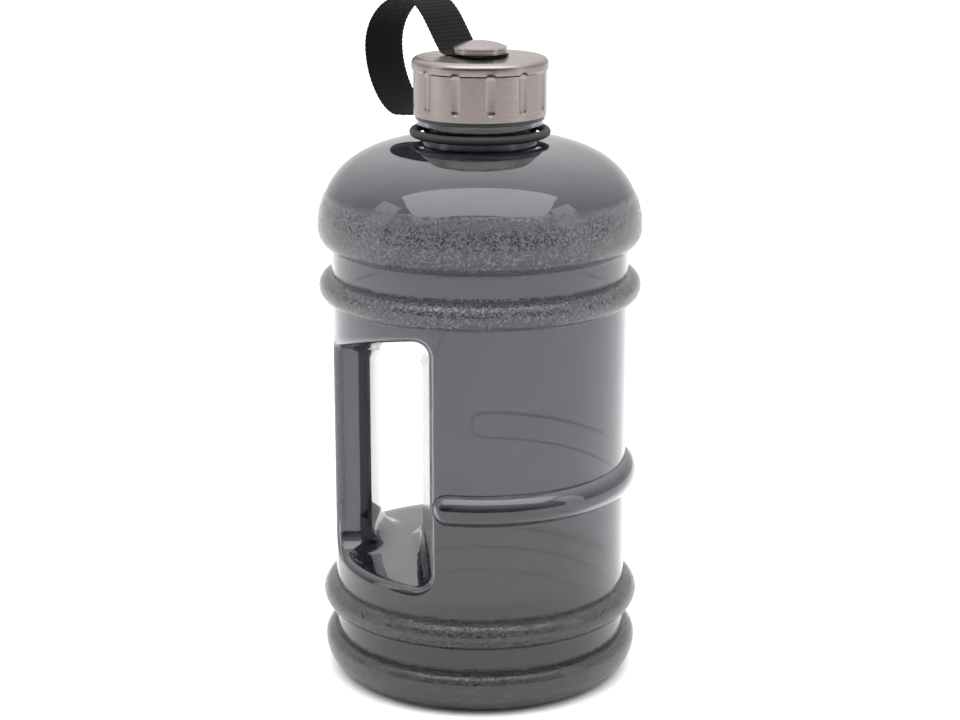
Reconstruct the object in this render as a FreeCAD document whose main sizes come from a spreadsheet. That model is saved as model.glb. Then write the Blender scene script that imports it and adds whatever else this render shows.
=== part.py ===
# A large water jug of about 2.2 litres: a blow-moulded bottle with a hollow grip post beside a
# through passage, a finger rib, and a stainless screw cap tethered by a webbing strap.
#
# Frame: +Z up, the origin in the middle of the base where the jug stands. The grip post lies
# towards -X and the passage for the fingers runs along Y. Lengths are in millimetres.
import FreeCAD, Part
import math
import os
import re

import Sketcher

from FreeCAD import Vector

# Driving dimensions: alias, value, meaning. Everything else is worked out from these.
SIZES = (
    # the blow-moulded body
    ("body_radius", 61.1, "outside radius of the plain middle of the body"),
    ("body_wall", 1.6, "thickness of the moulded wall"),
    ("ring_proud", 5.4, "how far the two bumper rings stand out of the body"),
    ("ring_half_height", 5.9, "half the height of a bumper ring"),
    ("foot_inset", 9.5, "how far the flat ring it stands on lies inside the base's widest place"),
    ("foot_width", 8.5, "width of that flat ring"),
    ("push_up", 6.0, "rise of the middle of the base above the foot"),
    ("base_proud", 4.9, "how far the base stands out of the body"),
    ("base_mid_z", 13.5, "height of the widest place of the base"),
    ("lower_ring_z", 34.1, "middle height of the lower bumper ring"),
    ("ring_spacing", 132.1, "height from the lower bumper ring to the upper one"),
    ("dome_proud", 5.7, "how far the dome stands out of the body"),
    ("groove_height", 16.0, "height from the upper bumper ring to the start of the dome"),
    ("dome_underside", 8.5, "height from the start of the dome to its widest place"),
    ("dome_round", 33.2, "radius of the dome's rounded shoulder"),
    ("dome_dip", 5.6, "slope at which the dome falls to the foot of the neck, in degrees"),
    ("dome_height", 34.5, "height from the dome's widest place to the foot of the neck"),
    # the finger rib round the side away from the handle
    ("rib_rise", 52.8, "height of the finger rib above the lower bumper ring"),
    ("rib_proud", 4.8, "how far the finger rib stands out"),
    ("rib_half_height", 6.6, "half the height of the finger rib"),
    ("rib_half_turn", 95.0, "angle from +X to the middle of each end of the rib, in degrees"),
    # the handle
    ("post_depth", 16.6, "thickness of the grip post, from its outside to the passage"),
    ("post_half_width", 18.5, "half the width of the grip post along Y"),
    ("post_corner", 7.0, "radius of the post's corners in the passage"),
    ("finger_gap", 19.9, "width of the passage at its middle, from the post to the body"),
    ("floor_rise", 20.6, "height of the passage's floor above the lower bumper ring"),
    ("roof_drop", 31.4, "depth of the passage's roof under the upper bumper ring"),
    ("passage_corner", 6.5, "radius of the passage's corners on the body's side"),
    ("floor_draft", 0.05, "fall of the floor for each millimetre away from the middle"),
    ("roof_draft", 0.35, "rise of the roof for each millimetre away from the middle"),
    ("wall_draft", 0.20, "retreat of the body's side for each millimetre from the middle"),
    ("post_foot_round", 10.0, "radius of the blend between the post and the passage's floor"),
    ("post_head_round", 4.0, "radius of the blend between the post and the passage's roof"),
    ("mouth_roll", 4.0, "radius of the rolled edge round both ends of the passage"),
    # the neck
    ("neck_height", 28.4, "height of the neck from the dome to its lip"),
    ("neck_bore_radius", 21.0, "inside radius of the neck"),
    ("neck_wall", 2.2, "thickness of the neck under its thread"),
    ("seat_step", 0.2, "how much thinner the neck is where the tether ring lies"),
    ("collar_proud", 2.7, "how far the collar over the tether ring stands out of the neck"),
    ("collar_height", 1.7, "height of the collar"),
    ("collar_rise", 7.6, "height of the collar's underside above the foot of the neck"),
    ("thread_depth", 1.1, "height of a thread's ridge"),
    ("thread_pitch", 5.0, "rise of the thread in one turn"),
    ("thread_turns", 1.5, "turns of each thread"),
    ("thread_base", 2.2, "width of a ridge at its root"),
    ("thread_crest", 1.0, "width of a ridge at its crest"),
    ("thread_sunk", 0.3, "how far a ridge reaches into the wall it stands on"),
    ("thread_start", 14.5, "height of the neck thread's start above the foot of the neck"),
    # the screw cap
    ("skirt_height", 17.9, "height of the skirt, up to the rolled rim"),
    ("rim_proud", 0.7, "how far the shell's rolled rim stands out of the skirt"),
    ("rim_height", 5.5, "height of the rolled rim"),
    ("rim_round", 2.6, "radius of the rolled rim's top edge"),
    ("shell_wall", 0.6, "thickness of the steel shell"),
    ("dimple_count", 12, "number of pressed dimples round the skirt"),
    ("dimple_bearing", 16.0, "direction of the first dimple, in degrees from +X"),
    ("dimple_round", 4.0, "radius of the tool that presses a dimple"),
    ("dimple_depth", 0.6, "depth of a dimple"),
    ("dimple_height", 12.0, "straight height of the pressing tool"),
    ("dimple_rise", 4.6, "height of a dimple's lower end above the skirt's lower edge"),
    ("liner_drop", 1.5, "how far the plastic liner shows below the shell"),
    ("liner_roof", 1.7, "thickness of the liner's roof"),
    ("liner_wall", 1.7, "thickness of the liner's wall"),
    ("thread_clearance", 0.3, "gap between the neck's thread and the liner's wall"),
    ("seal_thickness", 1.6, "thickness of the sealing disc"),
    ("seal_width", 3.6, "width of the sealing ring"),
    ("lip_gap", 0.05, "clearance between the closed cap's seal and the neck's lip"),
    ("fit_gap", 0.1, "clearance between cap pieces that sit in one another"),
    # the button that holds the strap
    ("screw_room", 2.1, "height of the space between liner and shell"),
    ("strap_thickness", 1.1, "thickness of the webbing"),
    ("swivel_gap", 0.1, "clearance above and below the strap's swivelling end"),
    ("flange_radius", 10.7, "radius of the button's flange"),
    ("flange_height", 1.6, "thickness of the button's flange"),
    ("button_radius", 11.0, "radius of the button's dome"),
    ("button_edge", 0.7, "height of the straight edge of the button's dome"),
    ("button_crown", 2.5, "rise of the dome above its edge"),
    ("button_groove", 0.25, "depth of the groove between dome and flange"),
    ("stem_radius", 3.0, "radius of the button's stem"),
    ("screw_radius", 1.5, "radius of the screw that holds the button"),
    ("screw_head_radius", 3.6, "radius of that screw's head"),
    ("screw_head_height", 1.3, "height of that screw's head"),
    ("screw_length", 5.2, "length of the screw under its head"),
    ("slot_width", 0.8, "width of the driving slot in the screw"),
    ("slot_depth", 0.7, "depth of the driving slot"),
    ("washer_radius", 6.0, "radius of the washer under the screw"),
    ("washer_thickness", 0.5, "thickness of that washer"),
    # the tether
    ("eyelet_wall", 1.4, "thickness of the eyelet's wall"),
    ("stem_clearance", 0.08, "gap between the button's stem and the eyelet"),
    ("tether_gap", 2.25, "gap between the neck and the tether ring"),
    ("tether_section", 1.75, "radius of the tether ring's round section"),
    ("tether_rise", 4.0, "height of the tether ring above the foot of the neck"),
    ("strap_width", 20.0, "width of the webbing"),
    ("button_clearance", 0.6, "straight webbing past the button before it bends up"),
    ("strap_corner", 6.0, "radius of the corners at the strap's end under the button"),
    ("strap_tail", 10.0, "length of webbing past the button's middle"),
    ("hem_fold", 11.0, "length of the folded end past the tether ring's middle line"),
    ("fold_gap", 0.05, "gap between the two layers of the folded end"),
    ("hem_width", 8.0, "width of the folded end that goes round the tether ring"),
    ("hem_gap", 0.45, "clearance between the tether ring and the webbing round it"),
    ("strap_bearing", 137.0, "direction in which the strap leaves the cap, in degrees from +X"),
)

doc = FreeCAD.newDocument("water_jug")
sheet = doc.addObject("Spreadsheet::Sheet", "Sizes")
for row, (alias, value, meaning) in enumerate(SIZES, start=1):
    sheet.set(f"A{row}", meaning)
    sheet.set(f"B{row}", str(value))
    sheet.setAlias(f"B{row}", alias)
doc.recompute()


def spelled(expression):
    """Write a sum of size names as a spreadsheet expression."""
    return re.sub(r"\b([a-z]+(?:_[a-z]+)+)\b", r"Sizes.\1", expression)


def size(expression):
    """The value of a sum of size names, in millimetres or degrees."""
    return float(sheet.evalExpression(spelled(expression)))


# Heights and radii that several pieces share, each a sum of the driving dimensions.
UPPER_RING_Z = "lower_ring_z + ring_spacing"
DOME_START_Z = f"{UPPER_RING_Z} + groove_height"
DOME_MID_Z = f"{DOME_START_Z} + dome_underside"
NECK_FOOT_Z = f"{DOME_MID_Z} + dome_height"
FLOOR_Z = "lower_ring_z + floor_rise"
ROOF_Z = f"{UPPER_RING_Z} - roof_drop"
LIP_Z = f"{NECK_FOOT_Z} + neck_height"
THREAD_Z = f"{NECK_FOOT_Z} + thread_start"
RING_Z = f"{NECK_FOOT_Z} + tether_rise"
BARREL_RADIUS = "neck_bore_radius + neck_wall"
SEAT_RADIUS = f"{BARREL_RADIUS} - seat_step"
LINER_BORE = f"{BARREL_RADIUS} + thread_depth + thread_clearance"
LINER_RADIUS = f"{LINER_BORE} + liner_wall"
SKIRT_INSIDE = f"{LINER_RADIUS} + fit_gap"
SKIRT_RADIUS = f"{SKIRT_INSIDE} + shell_wall"
TETHER_RADIUS = f"{SEAT_RADIUS} + tether_gap + tether_section"
LINER_ROOF_Z = f"{LIP_Z} + seal_thickness"
SHELL_ROOF_Z = f"{LINER_ROOF_Z} + liner_roof + screw_room"
CAP_TOP_Z = f"{SHELL_ROOF_Z} + shell_wall"
SKIRT_Z = f"{CAP_TOP_Z} - rim_height - skirt_height"
LINER_Z = f"{SKIRT_Z} - liner_drop"
STRAP_Z = f"{CAP_TOP_Z} + swivel_gap"
FLANGE_Z = f"{STRAP_Z} + strap_thickness + swivel_gap"
BUTTON_Z = f"{FLANGE_Z} + flange_height"
EYELET_BORE = "stem_radius + stem_clearance"
EYELET_RADIUS = f"{EYELET_BORE} + eyelet_wall"

# How far a cutting tool reaches past what it cuts, in millimetres.
SPARE = 20.0

# How close two positions are to count as the same, in millimetres.
NEAR = 0.01

# How many times a search halves the span it looks in.
HALVINGS = 40

pieces = {}


def keep(node, shape_object):
    """Name a finished piece after its node."""
    shape_object.Label = node
    pieces[node] = shape_object
    return shape_object


# ---------------------------------------------------------------- sketches and turned pieces

def origin_plane(body, role):
    """One of a body's own origin planes."""
    for feature in body.Origin.OriginFeatures:
        if feature.Role == role:
            return feature
    raise ValueError(role)


def arc_middle(start, end, radius):
    """The middle point of an arc that bulges to the right of the way from start to end."""
    chord = end - start
    rise = radius - math.sqrt(radius**2 - chord.Length**2 / 4)
    right = Vector(chord.y, -chord.x, 0).normalize()
    return (start + end) / 2 + right * rise


def draw(body, name, corners):
    """A closed outline in the body's XZ plane, its corners tied to the sheet.

    A corner is (x, z), two expressions; a third one is the radius of the arc that leads to the
    next corner and bulges outwards. The corners go round anticlockwise.
    """
    sketch = body.newObject("Sketcher::SketchObject", name)
    sketch.AttachmentSupport = (origin_plane(body, "XZ_Plane"), [""])
    sketch.MapMode = "FlatFace"
    points = [Vector(size(corner[0]), size(corner[1]), 0) for corner in corners]
    for index, corner in enumerate(corners):
        start = points[index]
        end = points[(index + 1) % len(points)]
        if len(corner) == 3:
            middle = arc_middle(start, end, size(corner[2]))
            sketch.addGeometry(Part.Arc(start, middle, end), False)
        else:
            sketch.addGeometry(Part.LineSegment(start, end), False)
    for index, corner in enumerate(corners):
        following = (index + 1) % len(corners)
        sketch.addConstraint(Sketcher.Constraint("Coincident", index, 2, following, 1))
        for kind, expression, axis in (("DistanceX", corner[0], -2), ("DistanceY", corner[1], -1)):
            value = size(expression)
            if value == 0:
                sketch.addConstraint(Sketcher.Constraint("PointOnObject", index, 1, axis))
                continue
            number = sketch.addConstraint(Sketcher.Constraint(kind, -1, 1, index, 1, value))
            sketch.setExpression(f"Constraints[{number}]", spelled(expression))
        if len(corner) == 3:
            number = sketch.addConstraint(Sketcher.Constraint("Radius", index, size(corner[2])))
            sketch.setExpression(f"Constraints[{number}]", spelled(corner[2]))
    sketch.Visibility = False
    return sketch


def turned(name, corners):
    """A body turned about Z from one outline."""
    body = doc.addObject("PartDesign::Body", name)
    sketch = draw(body, name + "_outline", corners)
    turn = body.newObject("PartDesign::Revolution", name + "_turn")
    turn.Profile = sketch
    turn.ReferenceAxis = (sketch, ["V_Axis"])
    turn.Angle = 360
    doc.recompute()
    return body


def is_circle(edge, radius, height):
    """Whether an edge is a full circle about Z of this radius at this height."""
    curve = edge.Curve
    if not isinstance(curve, Part.Circle):
        return False
    on_axis = math.hypot(curve.Center.x, curve.Center.y) < 1e-4
    return on_axis and abs(curve.Radius - radius) < 1e-3 and abs(curve.Center.z - height) < 1e-3


def round_circle(body, name, radius, height, fillet):
    """Round the circular edge of a body that has this radius and height."""
    base = body.Tip
    wanted = [
        f"Edge{number}"
        for number, edge in enumerate(base.Shape.Edges, start=1)
        if is_circle(edge, size(radius), size(height))
    ]
    rounding = body.newObject("PartDesign::Fillet", name)
    rounding.Base = (base, wanted)
    rounding.setExpression("Radius", spelled(fillet))
    body.Tip = rounding
    doc.recompute()


def cut(name, base, tool):
    """One solid of the document with another taken out of it."""
    result = doc.addObject("Part::Cut", name)
    result.Base = base
    result.Tool = tool
    doc.recompute()
    return result


def fuse(name, first, second):
    """Two solids of the document joined."""
    result = doc.addObject("Part::Fuse", name)
    result.Base = first
    result.Tool = second
    doc.recompute()
    return result


def shaped(name, shape, bearing=None):
    """A document object that holds a shape made in code, turned about Z to a bearing."""
    feature = doc.addObject("Part::Feature", name)
    feature.Shape = shape
    feature.Placement = FreeCAD.Placement()
    if bearing:
        feature.setExpression("Placement.Rotation.Angle", spelled(bearing))
    doc.recompute()
    return feature


def around(shape, degrees):
    """A copy of a shape turned about Z."""
    copy = shape.copy()
    copy.rotate(Vector(0, 0, 0), Vector(0, 0, 1), degrees)
    return copy


def thread(root_radius, outwards, start_z):
    """A right-handed thread's ridge, its root sunk a little into the wall it stands on."""
    pitch = size("thread_pitch")
    sunk = size("thread_sunk")
    side = 1 if outwards else -1
    helix = Part.makeHelix(pitch, pitch * size("thread_turns"), root_radius)
    helix.translate(Vector(0, 0, start_z))
    root = size("thread_base") / 2
    crest = size("thread_crest") / 2
    low = root_radius - side * sunk
    high = root_radius + side * size("thread_depth")
    corners = [
        Vector(low, 0, start_z - root),
        Vector(high, 0, start_z - crest),
        Vector(high, 0, start_z + crest),
        Vector(low, 0, start_z + root),
    ]
    section = Part.makePolygon(corners + corners[:1])
    return Part.Wire(helix.Edges).makePipeShell([section], True, True)


# ---------------------------------------------------------------- the jug

def straight(*points):
    """Straight edges through points given as (radius, height)."""
    corners = [Vector(radius, 0, height) for radius, height in points]
    return [Part.makeLine(a, b) for a, b in zip(corners, corners[1:])]


def arc(start, middle, end):
    """An arc through three points given as (radius, height)."""
    return Part.Arc(*(Vector(radius, 0, height) for radius, height in (start, middle, end))).toShape()


def arc_about(centre, radius, first, last):
    """An arc about a centre between two angles in degrees, from straight out to straight up."""
    points = []
    for degrees in (first, (first + last) / 2, last):
        turn = math.radians(degrees)
        points.append((centre[0] + radius * math.cos(turn), centre[1] + radius * math.sin(turn)))
    return arc(*points), points[0], points[-1]


def round_radius(proud, half_height):
    """Radius of the arc that stands this far out over this half height."""
    return (half_height**2 + proud**2) / (2 * proud)


def shoulder_turn(centre, radius, foot, dip):
    """The turn, in degrees, after which a flatter arc reaches the neck's foot at the set dip."""
    least, most = 0.0, 90.0
    for _ in range(HALVINGS):
        turn = (least + most) / 2
        end = arc_about(centre, radius, 0, turn)[2]
        chord = math.degrees(math.atan2(foot[1] - end[1], end[0] - foot[0]))
        if 2 * chord - (90 - turn) < -dip:
            least = turn
        else:
            most = turn
    return (least + most) / 2


def jug_outline():
    """Edges of the jug's outside from the middle of the base to the foot of the neck."""
    body = size("body_radius")
    proud = size("ring_proud")
    half = size("ring_half_height")
    base = body + size("base_proud")
    base_z = size("base_mid_z")
    foot = base - size("foot_inset")
    foot_inside = foot - size("foot_width")
    base_round = round_radius(base - foot, base_z)
    dish = round_radius(size("push_up"), foot_inside)
    dish_turn = math.degrees(math.asin(foot_inside / dish))
    edges = [arc_about((0, size("push_up") - dish), dish, 90, 90 - dish_turn)[0]]
    edges += straight((foot_inside, 0), (foot, 0))
    low_turn = -math.degrees(math.asin(base_z / base_round))
    corner, _, _ = arc_about((base - base_round, base_z), base_round, low_turn, 0)
    edges.append(corner)
    top_round = base - body
    shoulder, _, top = arc_about((body, base_z), top_round, 0, 90)
    edges.append(shoulder)
    for middle in (size("lower_ring_z"), size(UPPER_RING_Z)):
        edges += straight(top, (body, middle - half))
        top = (body, middle + half)
        edges.append(arc((body, middle - half), (body + proud, middle), top))
    dome = body + size("dome_proud")
    dome_z = size(DOME_MID_Z)
    start_z = size(DOME_START_Z)
    edges += straight(top, (body, start_z))
    low_round = round_radius(dome - body, dome_z - start_z)
    low_turn = -math.degrees(math.asin((dome_z - start_z) / low_round))
    edges.append(arc_about((dome - low_round, dome_z), low_round, low_turn, 0)[0])
    big = size("dome_round")
    foot_point = (size(SEAT_RADIUS), size(NECK_FOOT_Z))
    turn = shoulder_turn((dome - big, dome_z), big, foot_point, size("dome_dip"))
    rounded, _, end = arc_about((dome - big, dome_z), big, 0, turn)
    edges.append(rounded)
    # A flatter arc goes on from the shoulder, in line with it, to the foot of the neck.
    across = end[0] - foot_point[0]
    rise = foot_point[1] - end[1]
    chord = math.hypot(across, rise)
    bend = math.radians(90 - turn) - math.atan2(rise, across)
    sagitta = chord / 2 * math.tan(bend / 2)
    middle = (
        (end[0] + foot_point[0]) / 2 + sagitta * rise / chord,
        (end[1] + foot_point[1]) / 2 + sagitta * across / chord,
    )
    edges.append(arc(end, middle, foot_point))
    return edges, foot_point


def spun(edges, top):
    """A solid turned from edges that start on the axis and end at a height."""
    last = edges[-1].Vertexes[-1].Point
    closing = straight((last.x, last.z), (0, top), (0, edges[0].Vertexes[0].Point.z))
    wire = Part.Wire(Part.__sortEdges__(edges + closing))
    return Part.Face(wire).revolve(Vector(0, 0, 0), Vector(0, 0, 1), 360)


def jug_outside():
    """The jug's outer shape, solid, with its stepped neck."""
    edges, foot_point = jug_outline()
    seat, z = foot_point
    collar_z = z + size("collar_rise")
    collar_top = collar_z + size("collar_height")
    lip = z + size("neck_height")
    barrel = size(BARREL_RADIUS)
    collar = barrel + size("collar_proud")
    edges += straight(
        (seat, z), (seat, collar_z), (collar, collar_z), (collar, collar_top),
        (barrel, collar_top), (barrel, lip),
    )
    return spun(edges, lip)


def jug_inside():
    """The space inside the jug, up through its neck."""
    wall = size("body_wall")
    edges, foot_point = jug_outline()
    seat, z = foot_point
    bore = size("neck_bore_radius")
    above = z + size("neck_height") + SPARE
    edges += straight((seat, z), (bore + wall, z), (bore + wall, above))
    right = edges + straight((bore + wall, above), (0, above))
    left = [edge.mirror(Vector(0, 0, 0), Vector(1, 0, 0)) for edge in right]
    both = [edge.copy() for edge in right] + left
    face = Part.Face(Part.Wire(Part.__sortEdges__([e for piece in both for e in piece.Edges])))
    inner = Part.Face(face.makeOffset2D(-wall, 2).Wires[0])
    wide = 2 * size("body_radius")
    half = Part.Face(Part.Wire(straight((0, -1), (wide, -1), (wide, above), (0, above), (0, -1))))
    section = inner.common(half)
    return section.Faces[0].revolve(Vector(0, 0, 0), Vector(0, 0, 1), 360)


def finger_rib(inset):
    """The rounded rib round the side away from the handle, thinner by an inset."""
    thick = round_radius(size("rib_proud"), size("rib_half_height"))
    middle = size("body_radius") + size("rib_proud") - thick
    end = size("rib_half_turn")
    height = size("lower_ring_z + rib_rise")
    ring = Part.makeTorus(
        middle, thick - inset, Vector(0, 0, height), Vector(0, 0, 1), 0, 360, 2 * end
    )
    ring.rotate(Vector(0, 0, 0), Vector(0, 0, 1), -end)
    # Each end is half a sphere whose flat side meets the rib's end face.
    up = Vector(0, 0, 1)
    cap = Part.makeSphere(thick - inset, Vector(0, 0, 0), up, -90, 90, 180)
    first = around(cap, 180)
    first.translate(Vector(middle, 0, height))
    last = cap.copy()
    last.translate(Vector(middle, 0, height))
    whole = ring.fuse([around(first, -end), around(last, end)])
    return whole.removeSplitter()


def passage_section(away, grow):
    """The passage's section at a distance from the jug's middle, wider by grow all round."""
    pinch = size("body_radius") - size("post_depth") - size("finger_gap")
    wall = -pinch + size("wall_draft") * away + grow
    low = size(FLOOR_Z) - size("floor_draft") * away - grow
    high = size(ROOF_Z) + size("roof_draft") * away + grow
    outside = -size("body_radius") - SPARE
    bend = size("passage_corner") + grow
    slant = bend * (1 - math.sqrt(0.5))
    y = away

    def at(x, z):
        return Vector(x, y, z)

    edges = [
        Part.makeLine(at(outside, low), at(wall - bend, low)),
        Part.Arc(at(wall - bend, low), at(wall - slant, low + slant), at(wall, low + bend)).toShape(),
        Part.makeLine(at(wall, low + bend), at(wall, high - bend)),
        Part.Arc(at(wall, high - bend), at(wall - slant, high - slant), at(wall - bend, high)).toShape(),
        Part.makeLine(at(wall - bend, high), at(outside, high)),
        Part.makeLine(at(outside, high), at(outside, low)),
    ]
    return Part.Wire(edges)


def grip_post(shrink):
    """The grip post as a tall column, thinner by shrink all round."""
    half = size("post_half_width") - shrink
    inner = -(size("body_radius") - size("post_depth")) - shrink
    outside = -size("body_radius") - 2 * SPARE
    low = size(FLOOR_Z) - SPARE
    tall = size(ROOF_Z) + 2 * SPARE - low
    block = Part.makeBox(inner - outside, 2 * half, tall, Vector(outside, -half, low))
    corners = [
        edge for edge in block.Edges
        if abs(edge.Vertexes[0].X - inner) < 1e-6 and abs(edge.Vertexes[1].X - inner) < 1e-6
        and abs(edge.Vertexes[0].Y - edge.Vertexes[1].Y) < 1e-6
    ]
    return block.makeFillet(size("post_corner") - shrink, corners)


def points_along(edge):
    """Five points spread along an edge."""
    first = edge.FirstParameter
    span = edge.LastParameter - first
    return [edge.valueAt(first + span * step / 4) for step in range(5)]


def post_ends(space, shrink, at_roof):
    """The edges where the post meets the passage's roof, or its floor."""
    half = size("post_half_width") - shrink + NEAR
    inner = -(size("body_radius") - size("post_depth")) - shrink + NEAR
    middle = (size(FLOOR_Z) + size(ROOF_Z)) / 2
    found = []
    for edge in space.Edges:
        points = points_along(edge)
        heights = [point.z for point in points]
        upright = max(heights) - min(heights) > size("post_depth")
        on_post = all(abs(point.y) < half and point.x < inner for point in points)
        if on_post and not upright and (heights[0] > middle) == at_roof:
            found.append(edge)
    return found


def handle_space(grow):
    """The passage with the grip post left standing in it."""
    reach = size("body_radius") + SPARE
    near = passage_section(0, grow)
    far = passage_section(reach, grow)
    half = Part.makeLoft([near, far], True, True)
    other = half.mirror(Vector(0, 0, 0), Vector(0, 1, 0))
    space = half.fuse(other).removeSplitter().cut(grip_post(grow))
    space = space.makeFillet(size("post_foot_round") + grow, post_ends(space, grow, False))
    return space.makeFillet(size("post_head_round") + grow, post_ends(space, grow, True))


def mouth_edges(solid, radius):
    """The edges round both ends of the passage, where it meets the body."""
    low = size("lower_ring_z + ring_half_height") + NEAR
    high = size(f"{UPPER_RING_Z} - ring_half_height") - NEAR
    found = []
    for edge in solid.Edges:
        points = points_along(edge)
        on_body = all(abs(math.hypot(point.x, point.y) - radius) < NEAR for point in points)
        if on_body and all(low < point.z < high and point.x < 0 for point in points):
            found.append(edge)
    return found


def jug_body():
    """The moulded jug: its outside less its inside, with the thread on its neck."""
    wall = size("body_wall")
    radius = size("body_radius")
    outside = jug_outside().cut(handle_space(0))
    outside = outside.makeFillet(size("mouth_roll"), mouth_edges(outside, radius))
    outside = outside.fuse(finger_rib(0))
    inside = jug_inside().cut(handle_space(wall))
    inside = inside.makeFillet(size("mouth_roll") - wall, mouth_edges(inside, radius - wall))
    inside = inside.fuse(finger_rib(wall))
    neck_thread = thread(size(BARREL_RADIUS), True, size(THREAD_Z))
    return outside.cut(inside).fuse(neck_thread).Solids[0]


keep("jug_body", shaped("jug_body_solid", jug_body()))


# ---------------------------------------------------------------- the screw cap

def pressing_tools(radius):
    """Upright round-ended tools in a ring, where the dimples of the shell are pressed."""
    count = round(size("dimple_count"))
    away = size(f"{SKIRT_RADIUS} + dimple_round - dimple_depth")
    first = size("dimple_bearing")
    low = size(f"{SKIRT_Z} + dimple_rise")
    tall = size("dimple_height")
    bar = Part.makeCylinder(radius, tall, Vector(away, 0, low))
    tool = bar.fuse([
        Part.makeSphere(radius, Vector(away, 0, low)),
        Part.makeSphere(radius, Vector(away, 0, low + tall)),
    ])
    turns = [first + 360 / count * index for index in range(count)]
    return Part.makeCompound([around(tool, turn) for turn in turns])


RIM_RADIUS = f"{SKIRT_RADIUS} + rim_proud"
RIM_Z = f"{SKIRT_Z} + skirt_height"
STEM_HOLE = "stem_radius + fit_gap"
BELOW = f"{LINER_Z} - 1"


def cap_shell():
    """The drawn steel shell: a skirt with dimples, a rolled rim and a hole for the button."""
    blank = turned("cap_shell_blank", (
        ("0", SKIRT_Z),
        (SKIRT_RADIUS, SKIRT_Z),
        (SKIRT_RADIUS, RIM_Z),
        (RIM_RADIUS, f"{RIM_Z} + rim_proud"),
        (RIM_RADIUS, CAP_TOP_Z),
        ("0", CAP_TOP_Z),
    ))
    round_circle(blank, "cap_shell_rim", RIM_RADIUS, CAP_TOP_Z, "rim_round")
    round_circle(blank, "cap_shell_roll", RIM_RADIUS, f"{RIM_Z} + rim_proud", "rim_height / 5")
    hollow = turned("cap_shell_hollow", (
        ("0", BELOW),
        (SKIRT_INSIDE, BELOW),
        (SKIRT_INSIDE, RIM_Z),
        (f"{RIM_RADIUS} - shell_wall", f"{RIM_Z} + rim_proud"),
        (f"{RIM_RADIUS} - shell_wall", SHELL_ROOF_Z),
        (STEM_HOLE, SHELL_ROOF_Z),
        (STEM_HOLE, f"{CAP_TOP_Z} + 1"),
        ("0", f"{CAP_TOP_Z} + 1"),
    ))
    inner_round = "rim_round - shell_wall"
    round_circle(hollow, "cap_shell_bend", f"{RIM_RADIUS} - shell_wall", SHELL_ROOF_Z, inner_round)
    press = shaped("dimple_tools", pressing_tools(size("dimple_round")))
    bulge = shaped("dimple_bulges", pressing_tools(size("dimple_round + shell_wall")))
    pressed = cut("cap_shell_pressed", blank, press)
    room = cut("cap_shell_room", hollow, bulge)
    return cut("cap_shell_solid", pressed, room)


def cap_liner():
    """The plastic liner: flutes outside where the dimples grip it, a thread inside."""
    blank = turned("cap_liner_blank", (
        ("0", LINER_Z),
        (LINER_RADIUS, LINER_Z),
        (LINER_RADIUS, f"{LINER_ROOF_Z} + liner_roof"),
        ("0", f"{LINER_ROOF_Z} + liner_roof"),
    ))
    hollow = turned("cap_liner_hollow", (
        ("0", BELOW),
        (LINER_BORE, BELOW),
        (LINER_BORE, LINER_ROOF_Z),
        ("0", LINER_ROOF_Z),
    ))
    flute_radius = size("dimple_round + shell_wall + fit_gap")
    flutes = shaped("liner_flutes", pressing_tools(flute_radius))
    start = size(f"{THREAD_Z} - thread_pitch / 2")
    ridge = shaped("liner_thread", thread(size(LINER_BORE), False, start))
    fluted = cut("cap_liner_fluted", blank, flutes)
    cup = cut("cap_liner_cup", fluted, hollow)
    return fuse("cap_liner_solid", cup, ridge)


keep("cap_shell", cap_shell())
keep("cap_liner", cap_liner())
keep("cap_seal", turned("cap_seal_solid", (
    (f"{BARREL_RADIUS} - seal_width", f"{LIP_Z} + lip_gap"),
    (f"{BARREL_RADIUS} + fit_gap", f"{LIP_Z} + lip_gap"),
    (f"{BARREL_RADIUS} + fit_gap", LINER_ROOF_Z),
    (f"{BARREL_RADIUS} - seal_width", LINER_ROOF_Z),
)))


# ---------------------------------------------------------------- the button and its screw

def button_dome():
    """The domed head of the button with its bored stem."""
    edge_z = f"{BUTTON_Z} + button_groove"
    crown_start = f"{edge_z} + button_edge"
    crown = "(button_radius * button_radius + button_crown * button_crown) / (2 * button_crown)"
    bore_top = f"{SHELL_ROOF_Z} + screw_length"
    return turned("button_dome_solid", (
        ("screw_radius", SHELL_ROOF_Z),
        ("stem_radius", SHELL_ROOF_Z),
        ("stem_radius", BUTTON_Z),
        ("button_radius - 2 * button_groove", BUTTON_Z),
        ("button_radius", edge_z),
        ("button_radius", crown_start, crown),
        ("0", f"{crown_start} + button_crown"),
        ("0", bore_top),
        ("screw_radius", bore_top),
    ))


def button_screw():
    """The slotted screw that pulls the button down on the shell from inside."""
    head_top = f"{SHELL_ROOF_Z} - washer_thickness"
    head_low = f"{head_top} - screw_head_height"
    shank = "screw_radius - fit_gap / 2"
    screw = turned("button_screw_blank", (
        ("0", head_low),
        ("screw_head_radius", head_low),
        ("screw_head_radius", head_top),
        (shank, head_top),
        (shank, f"{head_top} + screw_length"),
        ("0", f"{head_top} + screw_length"),
    ))
    slot = doc.addObject("Part::Box", "screw_slot")
    slot.setExpression("Length", spelled("3 * screw_head_radius"))
    slot.setExpression("Width", spelled("slot_width"))
    slot.setExpression("Height", spelled("slot_depth"))
    slot.setExpression("Placement.Base.x", spelled("-1.5 * screw_head_radius"))
    slot.setExpression("Placement.Base.y", spelled("-slot_width / 2"))
    slot.setExpression("Placement.Base.z", spelled(head_low))
    return cut("button_screw_solid", screw, slot)


def plain_ring(name, inner, outer, low, high):
    """A flat ring with square edges."""
    return turned(name, ((inner, low), (outer, low), (outer, high), (inner, high)))


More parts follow.
